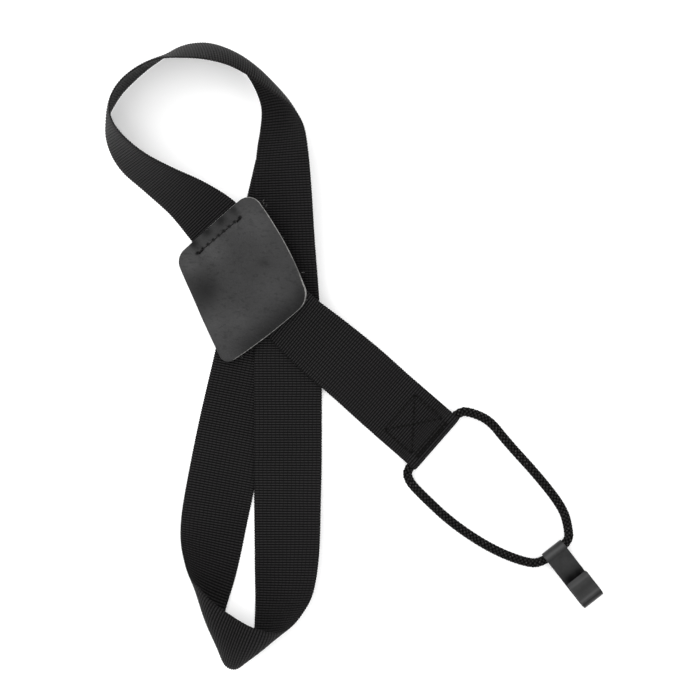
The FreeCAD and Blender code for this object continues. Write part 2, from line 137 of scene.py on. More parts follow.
class Nodes:
    """A short way to write a material's nodes."""

    def __init__(self, name, **shader):
        self.material = bpy.data.materials.new(name)
        self.material.use_nodes = True
        self.tree = self.material.node_tree
        self.shader = self.tree.nodes["Principled BSDF"]
        for socket, value in shader.items():
            self.shader.inputs[socket.replace("_", " ")].default_value = value

    def add(self, kind, inputs=None, **settings):
        node = self.tree.nodes.new(kind)
        for key, value in settings.items():
            setattr(node, key, value)
        for key, value in (inputs or {}).items():
            if isinstance(value, bpy.types.NodeSocket):
                self.tree.links.new(value, node.inputs[key])
            else:
                node.inputs[key].default_value = value
        return node

    def math(self, operation, a, b=0.0, c=0.0):
        return self.add("ShaderNodeMath", {0: a, 1: b, 2: c}, operation=operation).outputs[0]

    def ramp(self, value, *stops):
        """Grey or coloured stops (position, value) over a 0 to 1 value."""
        node = self.add("ShaderNodeValToRGB", {0: value})
        elements = node.color_ramp.elements
        while len(elements) < len(stops):
            elements.new(0.5)
        for element, (position, colour) in zip(elements, stops):
            element.position = position
            if not hasattr(colour, "__len__"):
                colour = (colour, colour, colour)
            element.color = (*colour, 1.0)
        return node.outputs[0]

    def noise(self, vector, scale, detail=3.0, roughness=0.5):
        inputs = {"Vector": vector, "Scale": scale, "Detail": detail, "Roughness": roughness}
        return self.add("ShaderNodeTexNoise", inputs).outputs[0]

    def stretch(self, vector, scale):
        return self.add("ShaderNodeMapping", {"Vector": vector, "Scale": scale}).outputs[0]

    def mix(self, factor, a, b, blend="MIX"):
        node = self.add("ShaderNodeMix", {0: factor}, data_type="RGBA", blend_type=blend)
        for index, value in ((6, a), (7, b)):
            if isinstance(value, bpy.types.NodeSocket):
                self.tree.links.new(value, node.inputs[index])
            else:
                node.inputs[index].default_value = (*value, 1.0) if len(value) == 3 else value
        return node.outputs[2]

    def bump(self, height, distance, strength=1.0, before=None):
        inputs = {"Height": height, "Distance": distance, "Strength": strength}
        if before is not None:
            inputs["Normal"] = before
        return self.add("ShaderNodeBump", inputs).outputs[0]

    def link(self, value, socket):
        self.tree.links.new(value, self.shader.inputs[socket])


RIB = 1.42
COLUMN = 2.3


def webbing_material():
    """Ribs across the webbing with painted shade in the slots between, crossed by columns where the ribs dip, with
    painted shade there too.
    """
    n = Nodes("webbing_cloth", Specular_IOR_Level=0.045, Sheen_Weight=0.012, Sheen_Roughness=0.5)
    uv = n.add("ShaderNodeUVMap", uv_map="cloth").outputs[0]
    along, across, _ = n.add("ShaderNodeSeparateXYZ", {0: uv}).outputs
    wander = n.math("MULTIPLY_ADD", n.noise(n.stretch(uv, (0.12, 0.05, 1)), 1.0, 2.0), 0.6, -0.3)
    ragged = n.math("MULTIPLY_ADD", n.noise(n.stretch(uv, (0.2, 1.4, 1)), 1.0, 2.0), 0.3, -0.15)
    rib = n.math("MULTIPLY_ADD", along, math.pi / RIB, ragged)
    rib = n.math("ABSOLUTE", n.math("SINE", rib))
    column = n.math("MULTIPLY", n.math("MULTIPLY_ADD", across, 1 / COLUMN, wander), math.pi)
    column = n.math("ABSOLUTE", n.math("SINE", column))
    # Painted shade: the slots between ribs and the dips between columns are painted near black.
    slot_shade = n.ramp(rib, (0.15, 1.0), (0.55, 0.85), (0.88, 0.0))
    column_shade = n.ramp(column, (0.0, 0.8), (0.2, 0.5), (0.45, 0.0))
    dark = n.math("MAXIMUM", slot_shade, column_shade)
    place = n.add("ShaderNodeTexCoord").outputs["Object"]
    uneven = n.noise(place, 35.0, 4.0, 0.6)
    yarns = n.noise(n.stretch(uv, (0.7, 5.0, 1.0)), 1.0, 3.0, 0.6)
    light = n.ramp(yarns, (0.25, (0.011, 0.0106, 0.0108)), (0.75, (0.0265, 0.0255, 0.026)))
    light = n.mix(n.ramp(uneven, (0.35, 0.0), (0.7, 0.45)), light, (0.015, 0.0144, 0.0148))
    n.link(n.mix(dark, light, (0.0008, 0.0007, 0.0008)), "Base Color")
    n.link(n.math("MULTIPLY_ADD", yarns, 0.25, 0.5), "Roughness")
    height = n.math("ADD", n.math("MULTIPLY", rib, 0.4), n.math("MULTIPLY", column, 0.5))
    n.link(n.bump(n.math("ADD", height, n.math("MULTIPLY", yarns, 0.3)), 0.00022, 0.9), "Normal")
    return n.material


def leather_material():
    """Soft black leather: fine grain, faint creases with painted shade in them, and painted light and shade held in
    an attribute that is 1 where the painted shade is darkest.
    """
    n = Nodes("pad_leather", Specular_IOR_Level=0.14)
    place = n.add("ShaderNodeTexCoord").outputs["Object"]
    painted_shading = n.add("ShaderNodeAttribute", attribute_name="painted_shading").outputs["Fac"]
    broad = n.noise(place, 26.0, 4.0, 0.55)
    fine = n.noise(place, 900.0, 4.0, 0.65)
    crease_relief_and_shade = n.noise(n.stretch(place, (1.0, 1.7, 1.0)), 260.0, 6.0, 0.72)
    cells = n.add("ShaderNodeTexVoronoi", {"Vector": place, "Scale": 1300.0}, feature="F1").outputs[0]
    colour = n.ramp(broad, (0.33, (0.041, 0.0406, 0.0412)), (0.66, (0.063, 0.0626, 0.0632)))
    # The low ground of the crease noise is painted darker as well: painted shade in the creases.
    colour = n.mix(n.ramp(crease_relief_and_shade, (0.38, 0.5), (0.47, 0.0)), colour, (0.02, 0.02, 0.0205))
    colour = n.mix(n.ramp(fine, (0.35, 0.3), (0.65, 0.0)), colour, (0.024, 0.024, 0.0245))
    # Painted light and shade: the painted_shading attribute darkens the leather towards black.
    n.link(n.mix(painted_shading, colour, (0.0015, 0.0015, 0.0016)), "Base Color")
    n.link(n.math("ADD", n.math("MULTIPLY", broad, 0.2), n.math("MULTIPLY_ADD", fine, 0.12, 0.34)), "Roughness")
    grain = n.math("ADD", n.math("MULTIPLY", cells, 0.6), n.math("MULTIPLY", fine, 0.8))
    n.link(n.bump(grain, 0.00016, 0.9, n.bump(crease_relief_and_shade, 0.0009, 0.7)), "Normal")
    return n.material


def raw_edge_material():
    """The leather's cut edge, where the grey fibres show."""
    n = Nodes("pad_raw_edge", Specular_IOR_Level=0.1, Sheen_Weight=0.2)
    place = n.add("ShaderNodeTexCoord").outputs["Object"]
    fine = n.noise(place, 1100.0, 4.0, 0.7)
    worn = n.noise(place, 90.0, 3.0, 0.6)
    colour = n.ramp(fine, (0.3, (0.06, 0.059, 0.058)), (0.75, (0.42, 0.41, 0.4)))
    n.link(n.mix(n.ramp(worn, (0.35, 0.8), (0.62, 0.0)), colour, (0.022, 0.022, 0.022)), "Base Color")
    n.link(n.math("MULTIPLY_ADD", fine, 0.2, 0.75), "Roughness")
    n.link(n.bump(fine, 0.0003, 0.8), "Normal")
    return n.material


def yarn_material(name, dark, painted=False):
    """Dull black yarn. A painted one has painted shade wherever a strand dips under another and on its inward side,
    with a light fibre here and there.
    """
    n = Nodes(name, Specular_IOR_Level=0.025)
    place = n.add("ShaderNodeTexCoord").outputs["Object"]
    yarns = n.noise(place, 2600.0, 3.0, 0.6)
    specks = n.noise(place, 1400.0, 1.0, 0.4)
    colour = n.ramp(yarns, (0.3, (0.0065 * dark,) * 3), (0.75, (0.04 * dark, 0.0385 * dark, 0.0375 * dark)))
    if painted:
        colour = n.mix(n.ramp(specks, (0.66, 0.0), (0.74, 0.8)), colour, (0.16, 0.15, 0.145))
        painted_crest_light = n.add("ShaderNodeAttribute", attribute_name="painted_crest_light").outputs["Fac"]
        colour = n.mix(n.ramp(painted_crest_light, (0.3, 1.0), (0.95, 0.0)), colour, (0.0005, 0.0005, 0.0005))
    n.link(colour, "Base Color")
    n.link(n.math("MULTIPLY_ADD", yarns, 0.25, 0.42), "Roughness")
    n.link(n.bump(yarns, 0.00006, 0.8), "Normal")
    return n.material


def hook_material():
    """Steel under a satin black coating, with painted shade in its hollows and painted highlights on its crests."""
    n = Nodes("hook_coating", Specular_IOR_Level=0.18)
    place = n.add("ShaderNodeTexCoord").outputs["Object"]
    broad = n.noise(place, 160.0, 4.0, 0.6)
    fine = n.noise(place, 2500.0, 3.0, 0.6)
    edge = n.add("ShaderNodeNewGeometry").outputs["Pointiness"]
    worn = n.math("MULTIPLY", n.ramp(edge, (0.52, 0.0), (0.6, 1.0)), n.ramp(broad, (0.35, 0.0), (0.7, 1.0)))
    shade = n.add("ShaderNodeAttribute", attribute_name="shade").outputs["Fac"]
    colour = n.ramp(broad, (0.3, (0.013, 0.0131, 0.0133)), (0.75, (0.022, 0.0221, 0.0224)))
    # The shade attribute: below 0.5 painted shade, above 0.5 painted highlight.
    colour = n.mix(n.ramp(shade, (0.0, 1.0), (0.5, 0.0)), colour, (0.0015, 0.0015, 0.0016))
    colour = n.mix(n.ramp(shade, (0.5, 0.0), (1.0, 1.0)), colour, (0.075, 0.075, 0.076))
    n.link(n.mix(worn, colour, (0.09, 0.09, 0.092)), "Base Color")
    n.link(n.math("ADD", n.math("MULTIPLY", broad, 0.2), n.math("MULTIPLY_ADD", fine, 0.08, 0.2)), "Roughness")
    n.link(n.bump(n.math("ADD", fine, n.math("MULTIPLY", broad, 0.5)), 0.00002, 0.6), "Normal")
    return n.material


def floor_material():
    n = Nodes("pale_floor", Specular_IOR_Level=0.1, Emission_Strength=0.2)
    place = n.add("ShaderNodeTexCoord").outputs["Object"]
    broad = n.noise(place, 6.0, 3.0, 0.5)
    n.link(n.ramp(broad, (0.3, (0.91, 0.91, 0.91)), (0.7, (0.93, 0.93, 0.93))), "Base Color")
    n.link(n.math("MULTIPLY_ADD", broad, 0.1, 0.8), "Roughness")
    n.link(n.bump(n.noise(place, 900.0, 2.0), 0.00003, 0.2), "Normal")
    return n.material


WEBBING = webbing_material()
LEATHER = leather_material()
RAW_EDGE = raw_edge_material()
BRAID = yarn_material("cord_braid_yarn", 1.0, painted=True)
# The core is made near black so the gaps between the braid's strands read dark: painted shade.
CORE = yarn_material("cord_core_yarn", 0.15)
THREAD = yarn_material("sewing_thread", 0.25)
HOOK = hook_material()

# ---------------------------------------------------------------- the cord comes first

CORD_DIAMETER = 4.9
TUNNEL = vec(43.3, -45.9, 4.45)
CORD_ROUTE = [
    (43.3, -45.9, 4.45),
    (57.4, -29.7, 4.45),
    (66.6, -31.0, 2.8),
    (76.3, -35.7, 2.55),
    (85.0, -46.9, 2.5),
    (103.6, -67.2, 2.5),
    (117.0, -84.6, 2.5),
    (119.8, -96.0, 3.1),
    (119.9, -103.0, 4.05),
    (104.6, -114.9, 4.05),
    (95.5, -114.5, 2.8),
    (77.1, -107.3, 2.5),
    (55.2, -93.1, 2.5),
    (37.7, -76.7, 2.5),
    (30.2, -68.5, 2.8),
    (29.6, -61.7, 4.45),
    (43.0, -46.25, 4.45),
]


def nurbs_curve(name, points, bevel):
    data = bpy.data.curves.new(name, "CURVE")
    data.dimensions = "3D"
    data.resolution_u = 24
    spline = data.splines.new("NURBS")
    spline.points.add(len(points) - 1)
    for point, place in zip(spline.points, points):
        point.co = (*(Vector(place) * MM), 1.0)
    spline.order_u = 3
    spline.use_endpoint_u = True
    data.bevel_depth = bevel
    data.bevel_resolution = 6
    data.use_fill_caps = True
    thing = bpy.data.objects.new(name, data)
    bpy.context.scene.collection.objects.link(thing)
    return thing


def line_of(curve):
    """The points along a curve, in millimetres, an even 0.25 apart."""
    bare = curve.copy()
    bare.data = curve.data.copy()
    bare.data.bevel_depth = 0.0
    bpy.context.scene.collection.objects.link(bare)
    bpy.context.view_layer.update()
    mesh = bpy.data.meshes.new_from_object(bare.evaluated_get(bpy.context.evaluated_depsgraph_get()))
    points = np.array([v.co for v in mesh.vertices], float) / MM
    bpy.data.objects.remove(bare)
    bpy.data.meshes.remove(mesh)
    steps = np.linalg.norm(np.diff(points, axis=0), axis=1)
    place = np.concatenate(([0.0], np.cumsum(steps)))
    even = np.arange(0.0, place[-1], 0.25)
    return np.stack([np.interp(even, place, points[:, k]) for k in range(3)], axis=1)


def frames_along(points):
    """Unit tangents, and two normals that turn as little as they can along the line."""
    tangent = unit(np.gradient(points, axis=0))
    side = np.zeros_like(tangent)
    side[0] = unit(np.cross(tangent[0], (0.0, 0.0, 1.0)))
    for i in range(1, len(points)):
        v = side[i - 1] - tangent[i] * np.dot(side[i - 1], tangent[i])
        side[i] = v / np.linalg.norm(v)
    return tangent, side, np.cross(tangent, side)


cord = nurbs_curve("cord_core", CORD_ROUTE, (CORD_DIAMETER / 2 - 0.75) * MM)
cord.data.materials.append(CORE)
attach(cord, "cord_loop")
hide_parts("cord")


def braid(line, spacing):
    """Twelve strands wound both ways round the line, each over one and under one of the others."""
    tangent, side, up = frames_along(line)
    length = np.arange(len(line)) * spacing
    lay, wide, thick, around = 14.5, 0.7, 0.44, 8
    points, faces, painted_crest_lights = [], [], []
    for k in range(12):
        way = 1 if k < 6 else -1
        turn = 2 * math.pi * (way * length / lay + (k % 6) / 6)
        wave = way * np.cos(12 * math.pi * length / lay)
        out = side * np.cos(turn)[:, None] + up * np.sin(turn)[:, None]
        centre = line + out * (CORD_DIAMETER / 2 - thick - 0.28 + 0.28 * wave)[:, None]
        run = unit(np.gradient(centre, axis=0))
        flat = unit(np.cross(run, out))
        faces += tube_faces(len(line), around, offset=k * len(line) * around)
        angles = 2 * math.pi * np.arange(around) / around
        ring = centre[:, None] + flat[:, None] * (wide * np.cos(angles))[None, :, None]
        ring = ring + out[:, None] * (thick * np.sin(angles))[None, :, None]
        ring = line[:, None] + (ring - line[:, None]) * vec(1.1, 1.1, 0.94)
        points.append(ring.reshape(-1, 3))
        # Painted light and shade: a strand keeps its colour on its outer face where it crosses over, and is painted
        # dark on its inner face and where it dips under.
        crest = np.sin(angles).clip(0)[None, :] * smooth_step(wave, -0.2, 0.8)[:, None]
        painted_crest_lights.append(crest.ravel())
    return np.concatenate(points), faces, np.concatenate(painted_crest_lights)


cord_line = line_of(cord)[::2]
braid_points, braid_faces, braid_painted_crest_light = braid(cord_line, 0.5)
cord_braid = mesh_object("cord_braid", braid_points, braid_faces, BRAID)
painted_crest_light = cord_braid.data.attributes.new("painted_crest_light", "FLOAT", "POINT")
painted_crest_light.data.foreach_set("value", braid_painted_crest_light)
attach(cord_braid, "cord_loop")

# ---------------------------------------------------------------- webbing

WEB_WIDTH = 38.0
WEB_THICK = 1.4

# Rib lines of the webbing from the tail's fold line to the sewn end: the lower edge, the other
# edge, and how far the middle bows out, in millimetres.
RIB_LINES = {
    "webbing_under_pad": [
        ((-28.5, -7.5, 5.8), (-5.0, 20.0, 15.5), 0),
        ((-44.0, 7.5, 5.7), (-22.5, 33.5, 22.5), 0),
        ((-69.0, 37.5, 3.8), (-45.5, 60.5, 22.4), 0),
        ((-90.0, 64.0, 0.8), (-65.0, 85.5, 19.7), 0),
    ],
    "webbing_upper_left": [
        ((-102.6, 79.5, 0.6), (-82.5, 96.5, 28.0), 0),
        ((-116.7, 92.3, 0.5), (-98.8, 103.7, 32.2), 0),
        ((-131.8, 106.4, 0.4), (-116.1, 113.0, 34.8), 0),
        ((-137.4, 117.8, 0.3), (-125.6, 120.8, 36.4), 0),
    ],
    "webbing_left_turn": [
        ((-138.8, 127.0, 0.1), (-130.7, 127.0, 37.2), -1),
        ((-136.9, 134.7, 0.1), (-133.0, 132.5, 37.9), -1.5),
        ((-132.5, 143.0, 0.1), (-133.0, 140.5, 38.0), -1.5),
        ((-128.0, 149.0, 0.1), (-129.5, 148.0, 38.0), -1.5),
        ((-123.5, 153.5, 0.1), (-125.0, 153.0, 38.0), -1.5),
        ((-118.0, 158.5, 0.1), (-119.0, 157.5, 38.0), -1.5),
        ((-112.5, 163.0, 0.1), (-112.5, 161.0, 38.0), -1),
        ((-108.0, 166.0, 0.1), (-106.5, 163.0, 38.0), -1),
    ],
    "webbing_crown": [
        ((-103.2, 169.8, 0.1), (-99.5, 163.5, 37.3), -1),
        ((-97.2, 173.3, 0.1), (-92.5, 163.5, 36.4), -1.6),
        ((-89.5, 175.2, 0.1), (-83.5, 163.0, 35.6), -2),
        ((-79.8, 174.6, 0.1), (-71.5, 160.5, 34.4), -3.4),
        ((-70.4, 168.9, 0.1), (-62.2, 156.4, 35.0), -5),
        ((-64.6, 163.6, 0.1), (-55.4, 152.2, 34.8), -5.6),
    ],
    "webbing_upper_right": [
        ((-56.6, 152.2, 0.2), (-44.4, 144.8, 34.6), -6.0),
        ((-52.0, 137.5, 0.4), (-32.0, 135.5, 32.5), -5.6),
        ((-52.5, 128.0, 1.6), (-27.5, 128.0, 30.0), -4),
        ((-54.0, 117.0, 3.8), (-25.5, 117.5, 28.8), -2),
        ((-55.0, 104.0, 4.9), (-24.0, 104.0, 26.9), 0),
        ((-55.0, 90.0, 5.6), (-23.0, 90.0, 26.0), 0),
    ],
    "webbing_right_strand": [
        ((-55.5, 65.0, 5.2), (-21.5, 65.0, 22.0), 0),
        ((-55.5, 36.5, 3.3), (-19.5, 36.5, 14.4), 0),
        ((-55.7, 4.0, 2.4), (-18.0, 4.0, 4.8), 0),
        ((-55.7, -24.0, 2.5), (-17.8, -24.0, 2.4), 0),
        ((-55.7, -58.0, 2.4), (-17.9, -58.0, 3.4), 0),
        ((-55.7, -80.0, 2.0), (-18.3, -80.0, 7.6), 0),
        ((-55.5, -113.5, 0.8), (-19.4, -112.5, 12.6), -0.5),
    ],
    "webbing_lower_right_turn": [
        ((-55.3, -127.0, 0.6), (-21.3, -126.0, 17.5), -1),
        ((-55.2, -135.5, 0.5), (-23.5, -133.5, 21.4), -1.5),
        ((-55.4, -144.0, 0.5), (-28.0, -140.5, 26.4), -2),
        ((-55.9, -152.5, 0.4), (-33.5, -147.0, 30.5), -2.5),
        ((-57.2, -160.5, 0.4), (-40.0, -150.5, 32.5), -3),
        ((-60.8, -170.2, 0.4), (-47.5, -150.5, 30.1), -3),
        ((-65.6, -175.2, 0.5), (-54.5, -148.5, 26.1), -3),
    ],
    "webbing_lower_left_turn": [
        ((-71.8, -173.4, 0.5), (-62.0, -145.0, 23.9), -3.8),
        ((-75.0, -165.2, 0.4), (-69.5, -139.5, 27.6), -5.2),
        ((-74.4, -156.3, 0.4), (-77.2, -133.8, 30.6), -5.9),
        ((-72.5, -146.6, 0.4), (-84.8, -126.3, 30.1), -5.7),
        ((-69.9, -136.9, 0.5), (-90.3, -120.7, 28.1), -4.8),
        ((-66.8, -125.5, 0.6), (-93.3, -112.5, 24.2), -2),
        ((-64.0, -114.0, 0.7), (-95.5, -103.5, 18.7), -1),
    ],
    "webbing_left_strand": [
        ((-60.5, -97.5, 0.7), (-96.0, -90.5, 12.3), 0),
        ((-55.5, -73.5, 0.7), (-92.5, -66.0, 4.5), 0),
        ((-50.5, -48.5, 0.7), (-87.8, -41.0, 0.7), 0),
        ((-40.0, -2.5, 0.7), (-77.2, 5.0, 0.7), 0),
        ((-33.0, 28.5, 1.6), (-70.2, 36.0, 0.7), 0),
    ],
    "webbing_sewn_end": [
        ((-28.2, 61.0, 10.4), (-64.6, 69.0, 0.8), 0),
        ((-27.4, 82.5, 19.6), (-59.6, 90.0, 1.0), 0),
        ((-25.4, 105.0, 22.4), (-54.2, 110.5, 0.9), 0),
    ],
}

# The tail's last two rib lines before its folded end, the second of them on the flat.
TAIL_FLAT_LENGTH = 35.0
TAIL_WAY = level(-41)
TAIL_ACROSS = level(49)
TAIL_FOOT = vec(TUNNEL[0], TUNNEL[1])
LAYER_HEIGHT = 2.2
TAIL_FLAT = TAIL_FOOT - TAIL_WAY * TAIL_FLAT_LENGTH + vec(0, 0, LAYER_HEIGHT)
TAIL_LINES = [
    (tuple(TAIL_FLAT - TAIL_ACROSS * 19), tuple(TAIL_FLAT + TAIL_ACROSS * 19), 0.0),
    ((-10.5, -23.5, 4.4), (14.5, 4.5, 8.4), 0.0),
]


def through(places, values, at):
    """A smooth curve through the values at these places along it, read at other places."""
    values = np.asarray(values, float)
    steps = np.diff(places)
    slopes = np.diff(values, axis=0) / steps[:, None]
    tangents = np.empty_like(values)
    tangents[0], tangents[-1] = slopes[0], slopes[-1]
    before, after = steps[:-1, None], steps[1:, None]
    tangents[1:-1] = (slopes[:-1] * after + slopes[1:] * before) / (before + after)
    k = np.clip(np.searchsorted(places, at, side="right") - 1, 0, len(steps) - 1)
    h = steps[k][:, None]
    t = ((at - places[k]) / steps[k])[:, None]
    return (
        values[k] * (1 + 2 * t) * (1 - t) ** 2
        + tangents[k] * h * t * (1 - t) ** 2
        + values[k + 1] * t * t * (3 - 2 * t)
        + tangents[k + 1] * h * t * t * (t - 1)
    )


def soften(values, spacing, reach):
    """Rows blurred along their length, with the ends left where they are."""
    half = int(3 * reach / spacing)
    kernel = np.exp(-0.5 * (np.arange(-half, half + 1) * spacing / reach) ** 2)
    kernel /= kernel.sum()
    padded = np.concatenate(
        (2 * values[:1] - values[half:0:-1], values, 2 * values[-1:] - values[-2 : -half - 2 : -1])
    )
    return np.stack([np.convolve(padded[:, k], kernel, "valid") for k in range(values.shape[1])], axis=1)


class Strip:
    """The webbing's middle line, the way across it and its upward face, read at any length along."""

    def __init__(self, lines):
        lows = np.array([line[0] for line in lines], float)
        highs = np.array([line[1] for line in lines], float)
        bows = np.array([[line[2]] for line in lines], float)
        rough = (lows + highs) / 2
        self.stations = np.concatenate(([0.0], np.cumsum(np.linalg.norm(np.diff(rough, axis=0), axis=1))))
        self.spacing = 0.5
        self.at = np.arange(0.0, self.stations[-1] + 0.25, self.spacing)
        rows = through(self.stations, np.hstack((lows, highs, bows)), self.at)
        rows = soften(rows, self.spacing, 2.5)
        self.low, self.high, self.bow = rows[:, :3], rows[:, 3:6], rows[:, 6]

    def read(self, at):
        """Middle, across, face normal and bow at these lengths along."""
        rows = np.hstack((self.low, self.high, self.bow[:, None]))
        rows = np.stack([np.interp(at, self.at, rows[:, k]) for k in range(7)], axis=1)
        low, high, bow = rows[:, :3], rows[:, 3:6], rows[:, 6]
        middle = (low + high) / 2
        across = unit(high - low)
        step = 1.0
        ahead = np.stack([np.interp(at + step, self.at, (self.low + self.high)[:, k] / 2) for k in range(3)], 1)
        behind = np.stack([np.interp(at - step, self.at, (self.low + self.high)[:, k] / 2) for k in range(3)], 1)
        return middle, across, unit(np.cross(ahead - behind, across)), bow


# Across the webbing: places from edge to edge, close together where the selvedges round off.
ACROSS = np.concatenate(([-1.0, -0.985, -0.955, -0.9], np.linspace(-0.8, 0.8, 13), [0.9, 0.955, 0.985, 1.0]))
# Rings in one rib: (share of the rib, depth of the dip, how far the selvedge stands in).
RIB_RINGS = [
    (0.0, 0.3, 0.32),
    (0.16, 0.15, 0.14),
    (0.34, 0.03, 0.02),
    (0.5, 0.0, 0.0),
    (0.66, 0.03, 0.02),
    (0.84, 0.15, 0.14),
]


def rib_places(start, end):
    """Lengths along from one rib's dip to another's, with each one's place in the map, dip and selvedge."""
    count = max(1, round((end - start) / RIB))
    rows = [
        (start + (end - start) * (i + share) / count, (i + share) * RIB, dip, edge)
        for i in range(count)
        for share, dip, edge in RIB_RINGS
    ]
    rows.append((end, count * RIB, *RIB_RINGS[0][1:]))
    return np.array(rows)


def cloth_rings(middle, across, normal, bow, rows):
    """Rings of ribbed webbing with rounded selvedges, and their map."""
    dip, edge = rows[:, 2], rows[:, 3]
    chord = WEB_WIDTH - 8 / 3 * bow**2 / WEB_WIDTH
    v = ACROSS[None, :]
    half = (chord / 2 - edge)[:, None]
    sag = bow[:, None] * (1 - v**2)
    lean = -2 * bow[:, None] * v / (chord / 2)[:, None]
    face = unit(normal[:, None, :] - across[:, None, :] * lean[:, :, None])
    centre = middle[:, None] + across[:, None] * (v * half)[:, :, None] + normal[:, None] * sag[:, :, None]
    round_off = np.sqrt(np.clip(1 - ((np.abs(ACROSS) - 0.965) / 0.035).clip(0) ** 2, 0.0, 1.0))
    thin = 1 - 0.3 * smooth_step(np.abs(ACROSS), 0.86, 0.96)
    depth = (WEB_THICK / 2 * thin * (0.12 + 0.88 * round_off))[None, :] - dip[:, None] * (thin * round_off)[None, :]
    ring = np.concatenate((centre + face * depth[:, :, None], (centre - face * depth[:, :, None])[:, ::-1]), axis=1)
    lowest = ring[:, :, 2].min(axis=1)
    lift = soften(np.maximum(0.05 - lowest, 0.0)[:, None], RIB / len(RIB_RINGS), 2.0)[:, 0]
    ring[:, :, 2] += np.maximum(lift, 0.05 - lowest)[:, None]
    w = np.concatenate((ACROSS, ACROSS[::-1])) * WEB_WIDTH / 2
    uv = np.stack(np.broadcast_arrays(rows[:, 1][:, None], w[None, :]), axis=2)
    return ring, uv


def cloth(name, ring, uv):
    """A closed run of webbing from its rings."""
    faces = tube_faces(*ring.shape[:2])
    return mesh_object(name, ring.reshape(-1, 3), faces, WEBBING, uv=uv.reshape(-1, 2))


def as_sheet(piece, length, held, *nodes):
    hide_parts(*nodes)


strip = Strip(TAIL_LINES + [line for run in RIB_LINES.values() for line in run])
fold_at = strip.stations[2]
rows = rib_places(fold_at, strip.stations[-1])
strap_rings, strap_map = cloth_rings(*strip.read(rows[:, 0]), rows)
per_rib = len(RIB_RINGS)
last_station, begin = 1, 0
for node, run in RIB_LINES.items():
    last_station += len(run)
    end = per_rib * round(np.searchsorted(rows[:, 0], strip.stations[last_station]) / per_rib)
    end = min(end, len(rows) - 1)
    piece = cloth(node + "_cloth", strap_rings[begin : end + 1], strap_map[begin : end + 1])
    held = "folded" if "turn" in node or "crown" in node else "laid"
    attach(piece, "strap")
    as_sheet(piece, rows[end, 0] - rows[begin, 0], held, node)
    begin = end

# ---------------------------------------------------------------- the tail and its folded end

TUNNEL_RADIUS = 3.75
RISE_BEND = 4.0
RISE_START = 9.5
RETURN_LENGTH = 26.0


def folded_path(spacing):
    """The tail's side view, (along, up) and the outward face, from its flat part to its turned-back end."""
    drop = TUNNEL_RADIUS + WEB_THICK / 2 - LAYER_HEIGHT - RISE_BEND
    reach = math.hypot(RISE_START, drop)
    climb = math.asin((RISE_BEND + TUNNEL_RADIUS) / reach) + math.atan2(drop, RISE_START)
    straight = math.sqrt(reach**2 - (RISE_BEND + TUNNEL_RADIUS) ** 2)
    moves = [
        (TAIL_FLAT_LENGTH - RISE_START, 0.0),
        (RISE_BEND * climb, 1 / RISE_BEND),
        (straight, 0.0),
        (TUNNEL_RADIUS * (math.pi + climb), -1 / TUNNEL_RADIUS),
        (RETURN_LENGTH, 0.0),
    ]
    total = sum(length for length, _ in moves)
    turn_at = np.cumsum([0.0] + [length for length, _ in moves])
    at = np.arange(0.0, total, 0.02)
    index = np.clip(np.searchsorted(turn_at, at, side="right") - 1, 0, len(moves) - 1)
    angle = np.cumsum(np.array([bend for _, bend in moves])[index] * 0.02)
    along = np.cumsum(np.cos(angle) * 0.02) - TAIL_FLAT_LENGTH
    up = np.cumsum(np.sin(angle) * 0.02) + LAYER_HEIGHT
    return at, along, up, angle, total


path_at, path_along, path_up, path_angle, path_length = folded_path(0.02)
tail_run = fold_at - strip.stations[0]
tail_length = tail_run + path_length
rows = rib_places(0.0, tail_length)
before = rows[:, 0] <= tail_run
middle, across, normal, bow = strip.read(fold_at - rows[before, 0])
after = rows[~before, 0] - tail_run
a = np.interp(after, path_at, path_along)[:, None]
z = np.interp(after, path_at, path_up)[:, None]
tilt = np.interp(after, path_at, path_angle)[:, None]
up = vec(0, 0, 1)
middle = np.concatenate((middle, TAIL_FOOT + TAIL_WAY * a + up * z))
across = np.concatenate((across, np.repeat(TAIL_ACROSS[None], len(after), axis=0)))
normal = np.concatenate((normal, up * np.cos(tilt) - TAIL_WAY * np.sin(tilt)))
bow = np.concatenate((bow, np.zeros(len(after))))
tail_cloth = cloth("tail_cloth", *cloth_rings(middle, across, normal, bow, rows))
as_sheet(tail_cloth, tail_length, "folded", "tail_webbing", "tail_folded_end")
fold = next(j for j in frame["joints"] if j["name"] == "tail_fold")
fold_axis = np.array(fold["axis"])
fold_way = unit(np.cross(fold_axis, (0, 0, 1)) * -1)
if np.dot(fold_way, TAIL_WAY) < 0:
    fold_way = -fold_way
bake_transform(tail_cloth)

# ---------------------------------------------------------------- leather pad

LEATHER_THICK = 1.8
PAD_WAY = level(-45)
PAD_ACROSS = level(45)
PAD_CORNERS = [
    ((-99.7, 55.7), 9.0),
    ((-72.0, -5.4), 5.0),
    ((-22.9, 31.9), 11.0),
    ((-55.7, 92.6), 8.0),
]
# How far each side of the outline bows out, from the side after the first corner on.
PAD_SIDE_BOWS = [0.3, 0.8, 1.6, 0.4]
PAD_CUTS = [
    (-114.0, [(-38.0, 0.6), (-19.6, 1.0), (13.6, 24.8), (28.0, 25.4)]),
    (-106.4, [(-42.0, 0.9), (-20.5, 1.4), (15.5, 21.7), (29.0, 22.8)]),
    (-75.0, [(-50.0, 2.0), (-25.0, 4.1), (11.5, 25.0), (24.0, 25.9)]),
    (-38.5, [(-60.0, 2.3), (-28.0, 6.4), (9.2, 24.4), (21.0, 25.2)]),
    (-30.0, [(-62.0, 2.4), (-28.0, 6.3), (9.5, 22.4), (20.0, 23.6)]),
]
SEAM_START = vec(-86.9, 57.9)
SEAM_END = vec(-62.6, 76.9)


